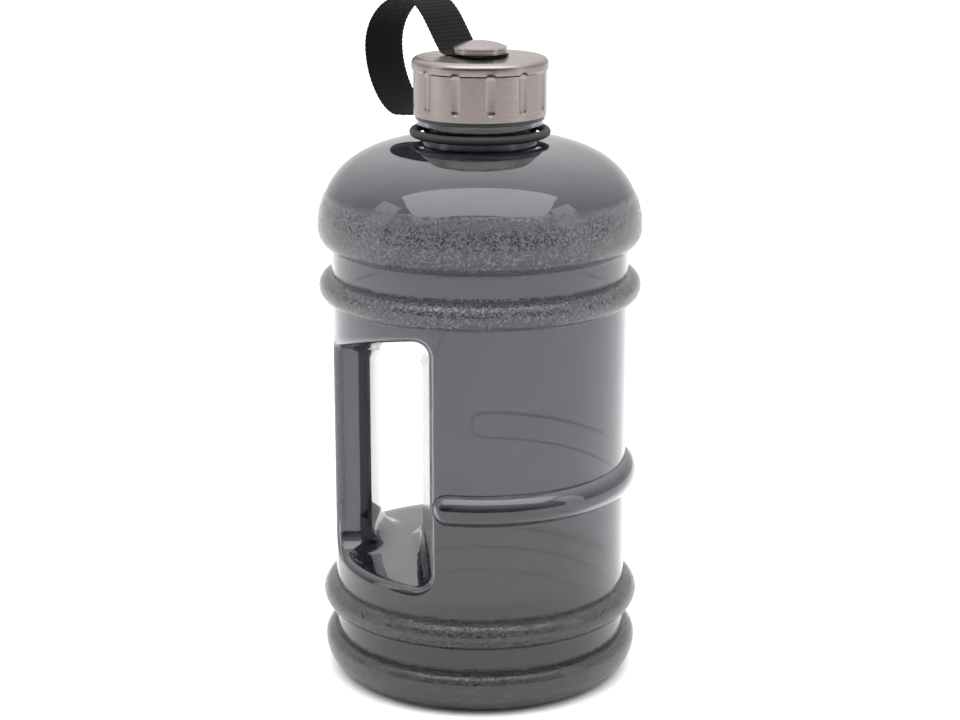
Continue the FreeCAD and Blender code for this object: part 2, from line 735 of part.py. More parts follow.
keep("button_dome", button_dome())
keep("button_flange", plain_ring(
    "button_flange_solid", STEM_HOLE, "flange_radius", FLANGE_Z, BUTTON_Z))
keep("button_screw", button_screw())
keep("screw_washer", plain_ring(
    "screw_washer_solid", "screw_radius + fit_gap", "washer_radius",
    f"{SHELL_ROOF_Z} - washer_thickness", SHELL_ROOF_Z))


# ---------------------------------------------------------------- the tether

def tether_ring():
    """The round ring that lies on the neck under its collar."""
    ring = doc.addObject("Part::Torus", "tether_ring_solid")
    ring.setExpression("Radius1", spelled(TETHER_RADIUS))
    ring.setExpression("Radius2", spelled("tether_section"))
    ring.setExpression("Placement.Base.z", spelled(RING_Z))
    doc.recompute()
    return ring


def ribbon(points, thickness, width):
    """A band of webbing that follows points given as (outwards, height)."""
    upper = []
    lower = []
    for index, (out, height) in enumerate(points):
        before = points[max(index - 1, 0)]
        after = points[min(index + 1, len(points) - 1)]
        along = Vector(after[0] - before[0], 0, after[1] - before[1]).normalize()
        side = Vector(-along.z, 0, along.x) * (thickness / 2)
        upper.append(Vector(out, 0, height) + side)
        lower.append(Vector(out, 0, height) - side)
    outline = upper + lower[::-1]
    face = Part.Face(Part.makePolygon(outline + outline[:1]))
    face.translate(Vector(0, -width / 2, 0))
    return face.extrude(Vector(0, width, 0))


def strap():
    """The strap, laid out towards +X: from under the button, in a loop, round the tether ring."""
    thick = size("strap_thickness")
    wide = size("strap_width")
    top = size(f"{STRAP_Z} + strap_thickness / 2")
    tail = size("strap_tail")
    ring = size(TETHER_RADIUS)
    ring_z = size(RING_Z)
    wrap = size("tether_section + hem_gap + strap_thickness / 2")
    lean = size("button_radius + button_clearance")
    # The free loop, laid out by hand: distance past the button, and height above the cap's top.
    rising = [
        (0, 0), (3.4, 2.4), (8.4, 8.4), (13.8, 14.7), (19.4, 18.8), (26.4, 20.6), (34.4, 19.4),
        (42.4, 15.2), (48.7, 8.6), (51.7, 0.6),
    ]
    # Its lower half: distance past the button, and share of the drop from the cap to the ring.
    hanging = [(51.0, 0.30), (47.4, 0.60), (41.4, 0.85), (34.4, 0.985)]
    drop = top - (ring_z + wrap)
    free = [(-tail, top)] + [(lean + out, top + rise) for out, rise in rising]
    free += [(lean + out, top - share * drop) for out, share in hanging]
    # The hem goes round the ring between its far side and its near one, as a folded end.
    fold = size("hem_fold")
    join = (ring + fold, ring_z + wrap)
    turns = [math.radians(degrees) for degrees in range(90, 271, 20)]
    hem = [(ring + wrap * math.cos(turn), ring_z + wrap * math.sin(turn)) for turn in turns]
    under = ring_z + wrap - thick - size("fold_gap")
    hem += [
        (ring + fold / 3, ring_z - wrap + thick / 2),
        (ring + fold * 2 / 3, under - thick),
        (ring + fold, under),
    ]
    band = ribbon(free + [join], thick, wide)
    tail_edges = [
        edge for edge in band.Edges
        if all(abs(vertex.X + tail) < NEAR for vertex in edge.Vertexes)
        and abs(edge.Vertexes[0].Z - edge.Vertexes[1].Z) > thick / 2
    ]
    band = band.makeFillet(size("strap_corner"), tail_edges)
    narrow = ribbon([join] + hem, thick, size("hem_width"))
    hole = Part.makeCylinder(size(EYELET_RADIUS), 4 * thick, Vector(0, 0, top - 2 * thick))
    whole = band.fuse(narrow).cut(hole).removeSplitter()
    return whole.Solids[0]


keep("strap_eyelet", plain_ring(
    "strap_eyelet_solid", EYELET_BORE, EYELET_RADIUS, STRAP_Z, f"{STRAP_Z} + strap_thickness"))
keep("tether_ring", tether_ring())
keep("strap", shaped("strap_solid", strap(), "strap_bearing"))


# ---------------------------------------------------------------- check and write

MESH_TOLERANCE = 0.02
MESH_STEP = 0.05


def meshed_volume(shape):
    """The volume inside a shape's triangles."""
    points, triangles = shape.tessellate(MESH_STEP)
    corners = ([points[index] for index in triangle] for triangle in triangles)
    return sum(first.dot(second.cross(third)) for first, second, third in corners) / 6


doc.recompute()
for thing in doc.Objects:
    if {"Invalid", "Error"} & set(thing.State):
        raise RuntimeError(f"{thing.Label} failed to build: {thing.State}")
for node, piece in pieces.items():
    shape = piece.Shape
    if shape.isNull() or not shape.isValid() or len(shape.Solids) != 1:
        raise RuntimeError(f"{node} isn't one valid solid")
    if abs(meshed_volume(shape) / shape.Volume - 1) > MESH_TOLERANCE:
        raise RuntimeError(f"{node}'s faces don't close round its volume")

os.makedirs("parts", exist_ok=True)
for node, piece in pieces.items():
    piece.Shape.exportStep(f"parts/{node}.step")
    print(f"{node}: {piece.Shape.Volume / 1000:.3f} cm3")
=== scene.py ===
import math

import bpy
from mathutils import Matrix, Vector


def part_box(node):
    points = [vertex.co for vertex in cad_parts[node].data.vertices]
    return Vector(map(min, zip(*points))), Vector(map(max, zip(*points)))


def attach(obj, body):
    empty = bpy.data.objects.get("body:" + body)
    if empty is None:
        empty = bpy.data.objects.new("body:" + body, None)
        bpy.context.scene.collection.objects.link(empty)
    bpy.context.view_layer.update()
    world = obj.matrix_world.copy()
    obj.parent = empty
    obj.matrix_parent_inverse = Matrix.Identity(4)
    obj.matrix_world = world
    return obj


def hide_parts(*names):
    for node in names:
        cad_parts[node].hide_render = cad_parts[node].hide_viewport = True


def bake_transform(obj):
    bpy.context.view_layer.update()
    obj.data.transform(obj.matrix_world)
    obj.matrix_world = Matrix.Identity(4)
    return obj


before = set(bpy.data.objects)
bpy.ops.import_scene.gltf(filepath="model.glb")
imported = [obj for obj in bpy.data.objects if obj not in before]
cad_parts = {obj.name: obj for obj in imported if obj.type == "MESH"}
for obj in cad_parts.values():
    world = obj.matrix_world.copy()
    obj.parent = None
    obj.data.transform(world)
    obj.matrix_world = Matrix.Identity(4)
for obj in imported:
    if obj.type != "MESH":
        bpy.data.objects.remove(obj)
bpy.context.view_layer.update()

bl_info = {
    "name": "Water Jug",
    "version": (1, 0, 0),
    "blender": (4, 2, 0),
    "location": "View3D > Sidebar > Water Jug",
    "description": "Builds a large water jug with a steel screw cap and a webbing strap",
    "category": "Object",
}

MM = 0.001
STRAP_BEARING = math.radians(137)

# The grained bands, each as its lowest and highest height and the width of its soft edge:
# the foot, the lower bumper ring, the upper one, and the lower half of the dome.
GRAINED_BANDS = (
    (-0.002, 0.0190, 0.002),
    (0.0285, 0.0402, 0.002),
    (0.1603, 0.1722, 0.002),
    (0.1832, 0.2030, 0.006),
)

# How far from the axis the outer skin lies, as opposed to the passage and the inside.
OUTER_SKIN = (0.0575, 0.080)

# Where the grip post's outer face and the passage's wall are grained.
POST_HEIGHTS = (0.066, 0.143)
POST_DEPTH = (-0.080, -0.054)
POST_WIDTH = (-0.018, 0.018)
WALL_HEIGHTS = (0.062, 0.147)
WALL_DEPTH = (-0.0262, -0.0125)

# Painted shade: the jug's tint darkens towards the base, fading in between these heights.
BASE_SHADE_HEIGHTS = (0.040, 0.050)

# The camera's place, and how far it looks down and is turned round, in degrees.
CAMERA_PLACE = (0.1082, -0.8813, 0.3688)
CAMERA_DOWN = 14.88
CAMERA_ROUND = 7

# Half the width, length and height of one stitch.
STITCH = (0.26 * MM, 0.75 * MM, 0.2 * MM)

# How near two corners of a mesh are to be merged.
MERGE = 0.002 * MM

# The strap's folded end: how far the fold reaches past the ring's middle.
FOLD = 11 * MM

# The strap grows narrower towards its fold over this length.
NARROWING = 7 * MM

# Corners over half of the webbing's cross-section, and rows of corners to each rib.
HALF_CORNERS = 22
ROWS_PER_RIB = 4

# The rounded corners of the strap's cut end, and the slight rounding of the fold's end.
TAIL_CORNER = 6 * MM
FOLD_CORNER = 0.6 * MM

# How far each rib stands out past the webbing's straight edge.
RIB_EDGE = 0.12 * MM


# ------------------------------------------------------------------ colours and material nodes

def linear(code):
    """An sRGB hex colour as linear red, green and blue."""
    channels = [int(code[start:start + 2], 16) / 255 for start in (1, 3, 5)]
    return tuple(c / 12.92 if c <= 0.04045 else ((c + 0.055) / 1.055) ** 2.4 for c in channels)


def add(tree, kind, links=None, **settings):
    """A node of a kind, with its settings, its plain socket values and its links."""
    made = tree.nodes.new(kind)
    for name, value in settings.items():
        setattr(made, name, value)
    for socket, source in (links or {}).items():
        if isinstance(source, bpy.types.NodeSocket):
            tree.links.new(source, made.inputs[socket])
        else:
            made.inputs[socket].default_value = source
    return made


def material(name):
    """An empty material with its surface shader."""
    made = bpy.data.materials.new(name)
    made.use_nodes = True
    made.node_tree.nodes.clear()
    tree = made.node_tree
    shader = add(tree, "ShaderNodeBsdfPrincipled")
    output = add(tree, "ShaderNodeOutputMaterial")
    tree.links.new(shader.outputs[0], output.inputs["Surface"])
    return made, tree, shader


def math_node(tree, operation, *values):
    """The result of a sum on numbers or sockets."""
    return add(tree, "ShaderNodeMath", dict(enumerate(values)), operation=operation).outputs[0]


def between(tree, value, low, high, soft):
    """1 where a value lies between two limits, with soft edges of a given width."""
    up = add(tree, "ShaderNodeMapRange", {
        "Value": value, "From Min": low - soft / 2, "From Max": low + soft / 2}, clamp=True)
    down = add(tree, "ShaderNodeMapRange", {
        "Value": value, "From Min": high + soft / 2, "From Max": high - soft / 2}, clamp=True)
    return math_node(tree, "MULTIPLY", up.outputs[0], down.outputs[0])


def position(tree):
    """A point's height, its distance from the jug's axis, and its x, y and whole vector."""
    place = add(tree, "ShaderNodeTexCoord").outputs["Object"]
    parts = add(tree, "ShaderNodeSeparateXYZ", {0: place}).outputs
    flat = add(tree, "ShaderNodeCombineXYZ", {0: parts[0], 1: parts[1], 2: 0.0}).outputs[0]
    away = add(tree, "ShaderNodeVectorMath", {0: flat}, operation="LENGTH").outputs["Value"]
    return parts, flat, away, place


def tinted_copolyester(finish):
    """Smoke-grey copolyester, blow-moulded: clear and glossy, with leather-grained bands.

    The mould is etched where the hand and the shelf touch the jug, so the bands scatter light
    and look darker, while the plain wall stays clear.
    """
    made, tree, shader = material("Blow-moulded smoke-grey copolyester")
    parts, flat, away, place = position(tree)
    height = parts[2]
    normal = add(tree, "ShaderNodeNewGeometry").outputs["Normal"]
    facing = add(tree, "ShaderNodeVectorMath", {0: normal, 1: flat}, operation="DOT_PRODUCT")
    outside = math_node(tree, "GREATER_THAN", facing.outputs["Value"], 0.0)
    on_shell = math_node(tree, "MULTIPLY", outside, between(tree, away, *OUTER_SKIN, 0.002))

    bands = None
    for low, high, soft in GRAINED_BANDS:
        band = between(tree, height, low, high, soft)
        bands = band if bands is None else math_node(tree, "MAXIMUM", bands, band)
    post = math_node(
        tree, "MULTIPLY",
        between(tree, height, *POST_HEIGHTS, 0.006),
        math_node(tree, "MULTIPLY", between(tree, parts[0], *POST_DEPTH, 0.002),
                  between(tree, parts[1], *POST_WIDTH, 0.003)),
    )
    bands = math_node(tree, "MULTIPLY", math_node(tree, "MAXIMUM", bands, post), on_shell)
    towards_post = math_node(tree, "LESS_THAN",
                             add(tree, "ShaderNodeSeparateXYZ", {0: normal}).outputs[0], -0.8)
    wall = math_node(
        tree, "MULTIPLY",
        between(tree, parts[0], *WALL_DEPTH, 0.002),
        math_node(tree, "MULTIPLY", between(tree, height, *WALL_HEIGHTS, 0.006), towards_post),
    )
    grained = math_node(tree, "MAXIMUM", bands, wall)

    wrinkles = add(tree, "ShaderNodeTexNoise", {
        "Vector": place, "Scale": 1 / finish.grain_pitch, "Detail": 2.5, "Roughness": 0.55,
        "Distortion": 1.2})
    ridges = add(tree, "ShaderNodeMapRange", {
        "Value": wrinkles.outputs[0], "From Min": 0.43, "From Max": 0.55}, clamp=True)
    grain = math_node(tree, "MULTIPLY", ridges.outputs[0], grained)
    bump = add(tree, "ShaderNodeBump", {
        "Height": grain, "Strength": 1.0, "Distance": finish.grain_depth})
    # A little waviness of the wall, as blown plastic has.
    flow = add(tree, "ShaderNodeTexNoise", {"Vector": place, "Scale": 28.0, "Detail": 1.0})
    wavy = add(tree, "ShaderNodeBump", {
        "Height": flow.outputs[0], "Strength": 0.25, "Distance": 0.0004,
        "Normal": bump.outputs[0]})
    rough = add(tree, "ShaderNodeMapRange", {
        "Value": grained, "To Min": 0.02, "To Max": 0.14}, clamp=True)

    # Each wrinkle's flank throws light aside, so it shows darker than the skin between.
    strokes = add(tree, "ShaderNodeMapRange", {
        "Value": grain, "To Min": 1.0, "To Max": finish.grain_shade}, clamp=True)
    # Painted shade: the tint is darker towards the base, where the lower jug gets less light.
    thick = add(tree, "ShaderNodeMapRange", {
        "Value": height, "From Min": BASE_SHADE_HEIGHTS[0], "From Max": BASE_SHADE_HEIGHTS[1],
        "To Min": finish.painted_base_shade, "To Max": 1.0}, clamp=True)
    shade = math_node(tree, "MULTIPLY", strokes.outputs[0], thick.outputs[0])
    tone = add(tree, "ShaderNodeVectorMath", {
        0: tuple(finish.tint), 3: shade}, operation="SCALE")
    tree.links.new(tone.outputs[0], shader.inputs["Base Color"])
    shader.inputs["IOR"].default_value = 1.57
    # The etched bands scatter part of the light at their skin, so their wrinkles stay visible.
    clear = add(tree, "ShaderNodeMapRange", {
        "Value": grained, "To Min": 1.0, "To Max": finish.grain_clarity}, clamp=True)
    tree.links.new(clear.outputs[0], shader.inputs["Transmission Weight"])
    tree.links.new(rough.outputs[0], shader.inputs["Roughness"])
    tree.links.new(wavy.outputs[0], shader.inputs["Normal"])
    return made


def brushed_steel(name, colour, pitch, roughness):
    """Stainless steel brushed round its axis: fine rings on top and fine lines round the side."""
    made, tree, shader = material(name)
    parts, _, away, place = position(tree)
    turn = math_node(tree, "ARCTAN2", parts[1], parts[0])
    across = 1 / pitch
    lines = add(tree, "ShaderNodeCombineXYZ", {
        0: math_node(tree, "MULTIPLY", turn, 2.5),
        1: math_node(tree, "MULTIPLY", away, across),
        2: math_node(tree, "MULTIPLY", parts[2], across)}).outputs[0]
    brush = add(tree, "ShaderNodeTexNoise", {
        "Vector": lines, "Scale": 1.0, "Detail": 3.0, "Roughness": 0.7}).outputs[0]
    cloud = add(tree, "ShaderNodeTexNoise", {
        "Vector": place, "Scale": 90.0, "Detail": 2.0}).outputs[0]
    shade = add(tree, "ShaderNodeMapRange", {
        "Value": brush, "From Min": 0.3, "From Max": 0.7, "To Min": 0.88, "To Max": 1.06})
    tone = add(tree, "ShaderNodeVectorMath", {0: colour, 3: shade.outputs[0]}, operation="SCALE")
    rough = add(tree, "ShaderNodeMapRange", {
        "Value": cloud, "From Min": 0.3, "From Max": 0.7,
        "To Min": roughness - 0.03, "To Max": roughness + 0.05})
    bump = add(tree, "ShaderNodeBump", {
        "Height": brush, "Strength": 0.35, "Distance": 0.00003})
    shader.inputs["Metallic"].default_value = 1.0
    shader.inputs["Anisotropic"].default_value = 0.55
    tree.links.new(tone.outputs[0], shader.inputs["Base Color"])
    tree.links.new(rough.outputs[0], shader.inputs["Roughness"])
    tree.links.new(bump.outputs[0], shader.inputs["Normal"])
    return made


def moulded(name, colour, roughness, pitch, depth):
    """Moulded plastic or rubber: one colour with the fine spark-eroded skin of its mould."""
    made, tree, shader = material(name)
    _, _, _, place = position(tree)
    skin = add(tree, "ShaderNodeTexNoise", {
        "Vector": place, "Scale": 1 / pitch, "Detail": 2.0}).outputs[0]
    rough = add(tree, "ShaderNodeMapRange", {
        "Value": skin, "To Min": roughness - 0.06, "To Max": roughness + 0.08})
    bump = add(tree, "ShaderNodeBump", {"Height": skin, "Strength": 0.5, "Distance": depth})
    shader.inputs["Base Color"].default_value = (*colour, 1.0)
    tree.links.new(rough.outputs[0], shader.inputs["Roughness"])
    tree.links.new(bump.outputs[0], shader.inputs["Normal"])
    return made


def woven_nylon(shape):
    """Black nylon webbing: warp yarns side by side under the ribs, dull, with a faint sheen.

    The ribs across it are in the mesh; the yarns between them are drawn here, 1.3 mm apart.
    """
    made, tree, shader = material("Woven black nylon webbing")
    cloth = add(tree, "ShaderNodeUVMap", uv_map="cloth").outputs[0]
    parts = add(tree, "ShaderNodeSeparateXYZ", {0: cloth}).outputs
    yarn = math_node(tree, "SINE", math_node(
        tree, "MULTIPLY", parts[0], 2 * math.pi / (1.3 * MM)))
    pick = math_node(tree, "SINE", math_node(
        tree, "MULTIPLY", parts[1], math.pi / shape.rib_pitch))
    weave = math_node(tree, "MULTIPLY", yarn, pick)
    fuzz = add(tree, "ShaderNodeTexNoise", {
        "Vector": cloth, "Scale": 2600.0, "Detail": 2.0}).outputs[0]
    height = math_node(tree, "ADD", weave, math_node(tree, "MULTIPLY", fuzz, 0.8))
    bump = add(tree, "ShaderNodeBump", {
        "Height": height, "Strength": 0.8, "Distance": 0.00012})
    shade = add(tree, "ShaderNodeMapRange", {"Value": height, "From Min": -1.0, "From Max": 1.8,
                                             "To Min": 0.45, "To Max": 1.7})
    tone = add(tree, "ShaderNodeVectorMath", {
        0: tuple(shape.colour), 3: shade.outputs[0]}, operation="SCALE")
    shader.inputs["Roughness"].default_value = 0.82
    shader.inputs["Specular IOR Level"].default_value = 0.18
    shader.inputs["Sheen Weight"].default_value = 0.02
    tree.links.new(tone.outputs[0], shader.inputs["Base Color"])
    tree.links.new(bump.outputs[0], shader.inputs["Normal"])
    return made


# ------------------------------------------------------------------ making pieces

def deselect():
    """Leave edit mode and select nothing."""
    if bpy.context.mode != "OBJECT":
        bpy.ops.object.mode_set(mode="OBJECT")
    bpy.ops.object.select_all(action="DESELECT")


def take(piece):
    """Make a piece the only selected object, and the active one."""
    deselect()
    piece.select_set(True)
    bpy.context.view_layer.objects.active = piece


def finished_copy(node, name, body, finish, crease):
    """A merged, smooth copy of a node, in its final material, that stands for the node."""
    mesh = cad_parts[node].data.copy()
    mesh.name = name
    piece = bpy.data.objects.new(name, mesh)
    bpy.context.scene.collection.objects.link(piece)
    take(piece)
    if mesh.has_custom_normals:
        bpy.ops.mesh.customdata_custom_splitnormals_clear()
    bpy.ops.object.mode_set(mode="EDIT")
    bpy.ops.mesh.select_all(action="SELECT")
    bpy.ops.mesh.remove_doubles(threshold=MERGE)
    bpy.ops.object.mode_set(mode="OBJECT")
    bpy.ops.object.shade_smooth_by_angle(angle=math.radians(crease))
    mesh.materials.clear()
    mesh.materials.append(finish)
    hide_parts(node)
    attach(piece, body)
    return piece


def smooth_line(points, step):
    """Points a given step apart along a smooth line through some points."""
    padded = [points[0], *points, points[-1]]
    dense = []
    for before, first, last, after in zip(padded, padded[1:], padded[2:], padded[3:]):
        for part in range(24):
            t = part / 24
            dense.append(0.5 * (
                2 * first + (last - before) * t
                + (2 * before - 5 * first + 4 * last - after) * t ** 2
                + (3 * first - before - 3 * last + after) * t ** 3
            ))
    dense.append(points[-1])
    spaced = [dense[0]]
    carried = 0.0
    for first, last in zip(dense, dense[1:]):
        length = (last - first).length
        while carried + length >= step:
            share = (step - carried) / length
            first = first.lerp(last, share)
            spaced.append(first)
            length = (last - first).length
            carried = 0.0
        carried += length
    return spaced


def strap_line():
    """The middle line of the strap in its own plane, as (outwards, height) in metres."""
    cap_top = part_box("cap_shell")[1][2]
    ring_low, ring_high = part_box("tether_ring")
    ring_z = (ring_low[2] + ring_high[2]) / 2
    section = (ring_high[2] - ring_low[2]) / 2
    ring = ring_high[0] - section
    top = cap_top + 0.65 * MM
    wrap = section + 1.0 * MM
    lean = 11.6 * MM
    rising = ((3.4, 2.4), (8.4, 8.4), (13.8, 14.7), (19.4, 18.8), (26.4, 20.6), (34.4, 19.4),
              (42.4, 15.2), (48.7, 8.6), (51.7, 0.6))
    hanging = ((51.0, 0.30), (47.4, 0.60), (41.4, 0.85), (34.4, 0.985))
    drop = top - (ring_z + wrap)
    points = [(-10 * MM, top), (-3 * MM, top), (5 * MM, top), (lean, top)]
    points += [(lean + out * MM, top + rise * MM) for out, rise in rising]
    points += [(lean + out * MM, top - share * drop) for out, share in hanging]
    points += [(ring + FOLD, ring_z + wrap), (ring + 5 * MM, ring_z + wrap)]
    for degrees in range(90, 271, 30):
        turn = math.radians(degrees)
        points.append((ring + wrap * math.cos(turn), ring_z + wrap * math.sin(turn)))
    points += [
        (ring + 3.7 * MM, ring_z - wrap + 0.6 * MM),
        (ring + 7.3 * MM, ring_z + wrap - 2.3 * MM),
        (ring + FOLD, ring_z + wrap - 1.2 * MM),
    ]
    return [Vector(point) for point in points], ring + FOLD, ring_z + wrap


def ease(share):
    """A smooth step from 0 to 1."""
    share = min(max(share, 0.0), 1.0)
    return share * share * (3 - 2 * share)


def webbing_mesh(shape):
    """The ribbed band of webbing along its line, with a cloth map in metres."""
    points, neck_out, neck_z = strap_line()
    step = shape.rib_pitch / ROWS_PER_RIB
    line = smooth_line(points, step)
    half = shape.width / 2
    narrow = shape.hem_width / 2
    past_apex = False
    narrowing = None
    rings = []
    for index, point in enumerate(line):
        before = line[max(index - 1, 0)]
        after = line[min(index + 1, len(line) - 1)]
        along = (after - before).normalized()
        side = Vector((-along.y, along.x))
        past_apex = past_apex or point.x > 0.060
        near_fold = point.x < neck_out + NARROWING and point.y < neck_z + 3 * MM
        if past_apex and near_fold and narrowing is None:
            narrowing = index * step
        share = 0.0 if narrowing is None else ease((index * step - narrowing) / NARROWING)
        wide = half + (narrow - half) * share
        phase = 2 * math.pi * index * step / shape.rib_pitch
        thick = shape.thickness / 2 - shape.rib_depth * (0.5 - 0.5 * math.cos(phase))
        wide += RIB_EDGE * math.cos(phase)
        ends = min(index, len(line) - 1 - index) * step
        corner = TAIL_CORNER if index < len(line) / 2 else FOLD_CORNER
        if ends < corner:
            wide -= corner - math.sqrt(max(corner ** 2 - (corner - ends) ** 2, 0.0))
        ring = []
        for number in range(2 * HALF_CORNERS):
            turn = math.pi * number / HALF_CORNERS
            across = math.cos(turn)
            bulge = (1 - abs(across) ** 10) ** 0.5
            offset = math.copysign(thick * bulge, math.sin(turn)) if number % HALF_CORNERS else 0.0
            out = point.x + side.x * offset
            height = point.y + side.y * offset
            ring.append(((out, across * wide, height), (across * wide, index * step)))
        rings.append(ring)
    size = 2 * HALF_CORNERS
    corners = [place for ring in rings for place, _ in ring]
    cloth = [spot for ring in rings for _, spot in ring]
    faces = []
    for row in range(len(rings) - 1):
        for number in range(size):
            following = (number + 1) % size
            low = row * size
            high = low + size
            faces.append((low + number, high + number, high + following, low + following))
    faces.append(tuple(range(size)))
    faces.append(tuple(reversed(range((len(rings) - 1) * size, len(rings) * size))))
    return corners, faces, cloth


def turned_to_bearing(mesh):
    """Turn a mesh laid out towards +X to the strap's own direction."""
    mesh.transform(Matrix.Rotation(STRAP_BEARING, 4, "Z"))


def new_object(name, corners, faces):
    """A mesh object made from corners and faces."""
    mesh = bpy.data.meshes.new(name)
    mesh.from_pydata(corners, [], faces)
    mesh.update()
    piece = bpy.data.objects.new(name, mesh)
    bpy.context.scene.collection.objects.link(piece)
    return piece


# ------------------------------------------------------------------ settings

class JugFinish(bpy.types.PropertyGroup):
    """The look of the moulded jug."""

    tint: bpy.props.FloatVectorProperty(
        name="Tint", description="Colour that the clear wall lets through",
        subtype="COLOR", size=3, default=linear("#6E6F76"), min=0, max=1)
    grain_pitch: bpy.props.FloatProperty(
        name="Grain spacing", description="Distance between the wrinkles of the grained bands",
        default=0.0011, min=0.0005, unit="LENGTH")
    grain_depth: bpy.props.FloatProperty(
        name="Grain depth", description="Depth of those wrinkles",
        default=0.0004, min=0, unit="LENGTH")
    grain_shade: bpy.props.FloatProperty(
        name="Grain shade", description="Share of the light that a wrinkle's flank lets through",
        default=0.28, min=0, max=1)
    grain_clarity: bpy.props.FloatProperty(
        name="Grain clarity", description="Share of the light that passes a grained band unscattered",
        default=0.45, min=0, max=1)
    # Painted shade towards the base: the share of the tint left at the bottom.
    painted_base_shade: bpy.props.FloatProperty(
        name="Base shade", description="Share of the light that the thicker base lets through",
        default=0.42, min=0, max=1)


class CapFinish(bpy.types.PropertyGroup):
    """The look of the steel cap."""

    steel: bpy.props.FloatVectorProperty(
        name="Steel", description="Colour of the stainless steel",
        subtype="COLOR", size=3, default=linear("#857C79"), min=0, max=1)
    brush_pitch: bpy.props.FloatProperty(
        name="Brush line spacing", description="Distance between brush lines",
        default=0.00045, min=0.0001, unit="LENGTH")


class StrapShape(bpy.types.PropertyGroup):
    """The size and colour of the webbing strap."""

    width: bpy.props.FloatProperty(
        name="Width", description="Width of the webbing", default=0.020, unit="LENGTH")
    hem_width: bpy.props.FloatProperty(
        name="Hem width", description="Width of the folded end round the ring",
        default=0.008, unit="LENGTH")
    thickness: bpy.props.FloatProperty(
        name="Thickness", description="Thickness of the webbing", default=0.0011, unit="LENGTH")
    rib_pitch: bpy.props.FloatProperty(
        name="Rib spacing", description="Distance between the ribs across the webbing",
        default=0.0019, min=0.0008, unit="LENGTH")
    rib_depth: bpy.props.FloatProperty(
        name="Rib depth", description="How far the webbing thins between two ribs",
        default=0.00022, min=0, unit="LENGTH")
    colour: bpy.props.FloatVectorProperty(
        name="Colour", description="Colour of the nylon",
        subtype="COLOR", size=3, default=linear("#030303"), min=0, max=1)


class StageSettings(bpy.types.PropertyGroup):
    """Floor, light and camera."""

    floor: bpy.props.FloatVectorProperty(
        name="Floor", description="Colour of the floor",
        subtype="COLOR", size=3, default=linear("#F6F6F6"), min=0, max=1)
    lens: bpy.props.FloatProperty(
        name="Lens", description="Focal length of the camera in millimetres", default=82.5)


# ------------------------------------------------------------------ operators

class JUG_OT_body(bpy.types.Operator):
    """Make the moulded jug with its grip post, rings, finger rib and neck"""

    bl_idname = "water_jug.body"
    bl_label = "Moulded jug"

    def execute(self, context):
        finish = tinted_copolyester(context.scene.jug_finish)
        finished_copy("jug_body", "Moulded_jug", "jug", finish, 24)
        return {"FINISHED"}


class JUG_OT_cap(bpy.types.Operator):
    """Make the cap: its steel shell, liner, seal, button, flange, screw and washer"""

    bl_idname = "water_jug.cap"
    bl_label = "Screw cap"

    def execute(self, context):
        look = context.scene.cap_finish
        steel = brushed_steel("Brushed stainless steel", tuple(look.steel), look.brush_pitch, 0.27)
        satin = brushed_steel(
            "Satin turned stainless steel", tuple(look.steel), look.brush_pitch * 0.7, 0.22)
        zinc = brushed_steel("Zinc-plated steel", linear("#A9ABAE"), 0.0006, 0.35)
        liner = moulded("Injection-moulded black polypropylene", linear("#111112"), 0.42,
                        0.0006, 0.00002)
        seal = moulded("Moulded white silicone", linear("#DAD9D4"), 0.5, 0.0008, 0.00002)
        for node, name, finish, slot in (
            ("cap_shell", "Steel_cap_shell", steel, "brushed_steel"),
            ("cap_liner", "Threaded_cap_liner", liner, "black_plastic"),
            ("cap_seal", "Silicone_cap_seal", seal, "silicone"),
            ("button_dome", "Domed_button", satin, "polished_steel"),
            ("button_flange", "Flange_under_button", satin, "polished_steel"),
            ("button_screw", "Slotted_button_screw", zinc, "zinc_steel"),
            ("screw_washer", "Washer_under_screw", zinc, "zinc_steel"),
        ):
            finished_copy(node, name, "cap", finish, 28)
        finished_copy("strap_eyelet", "Swivel_eyelet", "swivel", zinc, 28)
        return {"FINISHED"}


class JUG_OT_ring(bpy.types.Operator):
    """Make the soft ring that holds the strap to the neck"""

    bl_idname = "water_jug.ring"
    bl_label = "Tether ring"

    def execute(self, context):
        finish = moulded("Moulded black elastomer", linear("#0D0D0D"), 0.62, 0.0007, 0.00004)
        finished_copy("tether_ring", "Neck_tether_ring", "ring", finish, 40)
        return {"FINISHED"}


class JUG_OT_strap(bpy.types.Operator):
    """Make the webbing strap with its ribs, and the hole for its eyelet"""

    bl_idname = "water_jug.strap"
    bl_label = "Webbing strap"

    def execute(self, context):
        shape = context.scene.strap_shape
        corners, faces, cloth = webbing_mesh(shape)
        strap = new_object("Webbing_strap", corners, faces)
        layer = strap.data.uv_layers.new(name="cloth")
        for loop in strap.data.loops:
            layer.data[loop.index].uv = cloth[loop.vertex_index]
        take(strap)
        bpy.ops.object.mode_set(mode="EDIT")
        bpy.ops.mesh.select_all(action="SELECT")
        bpy.ops.mesh.normals_make_consistent(inside=False)
        bpy.ops.object.mode_set(mode="OBJECT")
        low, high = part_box("strap_eyelet")
        deselect()
        bpy.ops.mesh.primitive_cylinder_add(
            vertices=48, radius=high[0], depth=6 * MM, location=(0, 0, (low[2] + high[2]) / 2))
        punch = bpy.context.view_layer.objects.active
        take(strap)
        hole = strap.modifiers.new("Eyelet hole", "BOOLEAN")
        hole.operation = "DIFFERENCE"
        hole.object = punch
        hole.solver = "EXACT"
        bpy.ops.object.modifier_apply(modifier=hole.name)
        bpy.data.objects.remove(punch, do_unlink=True)
        turned_to_bearing(strap.data)
        bpy.ops.object.shade_smooth_by_angle(angle=math.radians(50))
        strap.data.materials.append(woven_nylon(shape))
        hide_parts("strap")
        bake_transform(strap)
        return {"FINISHED"}


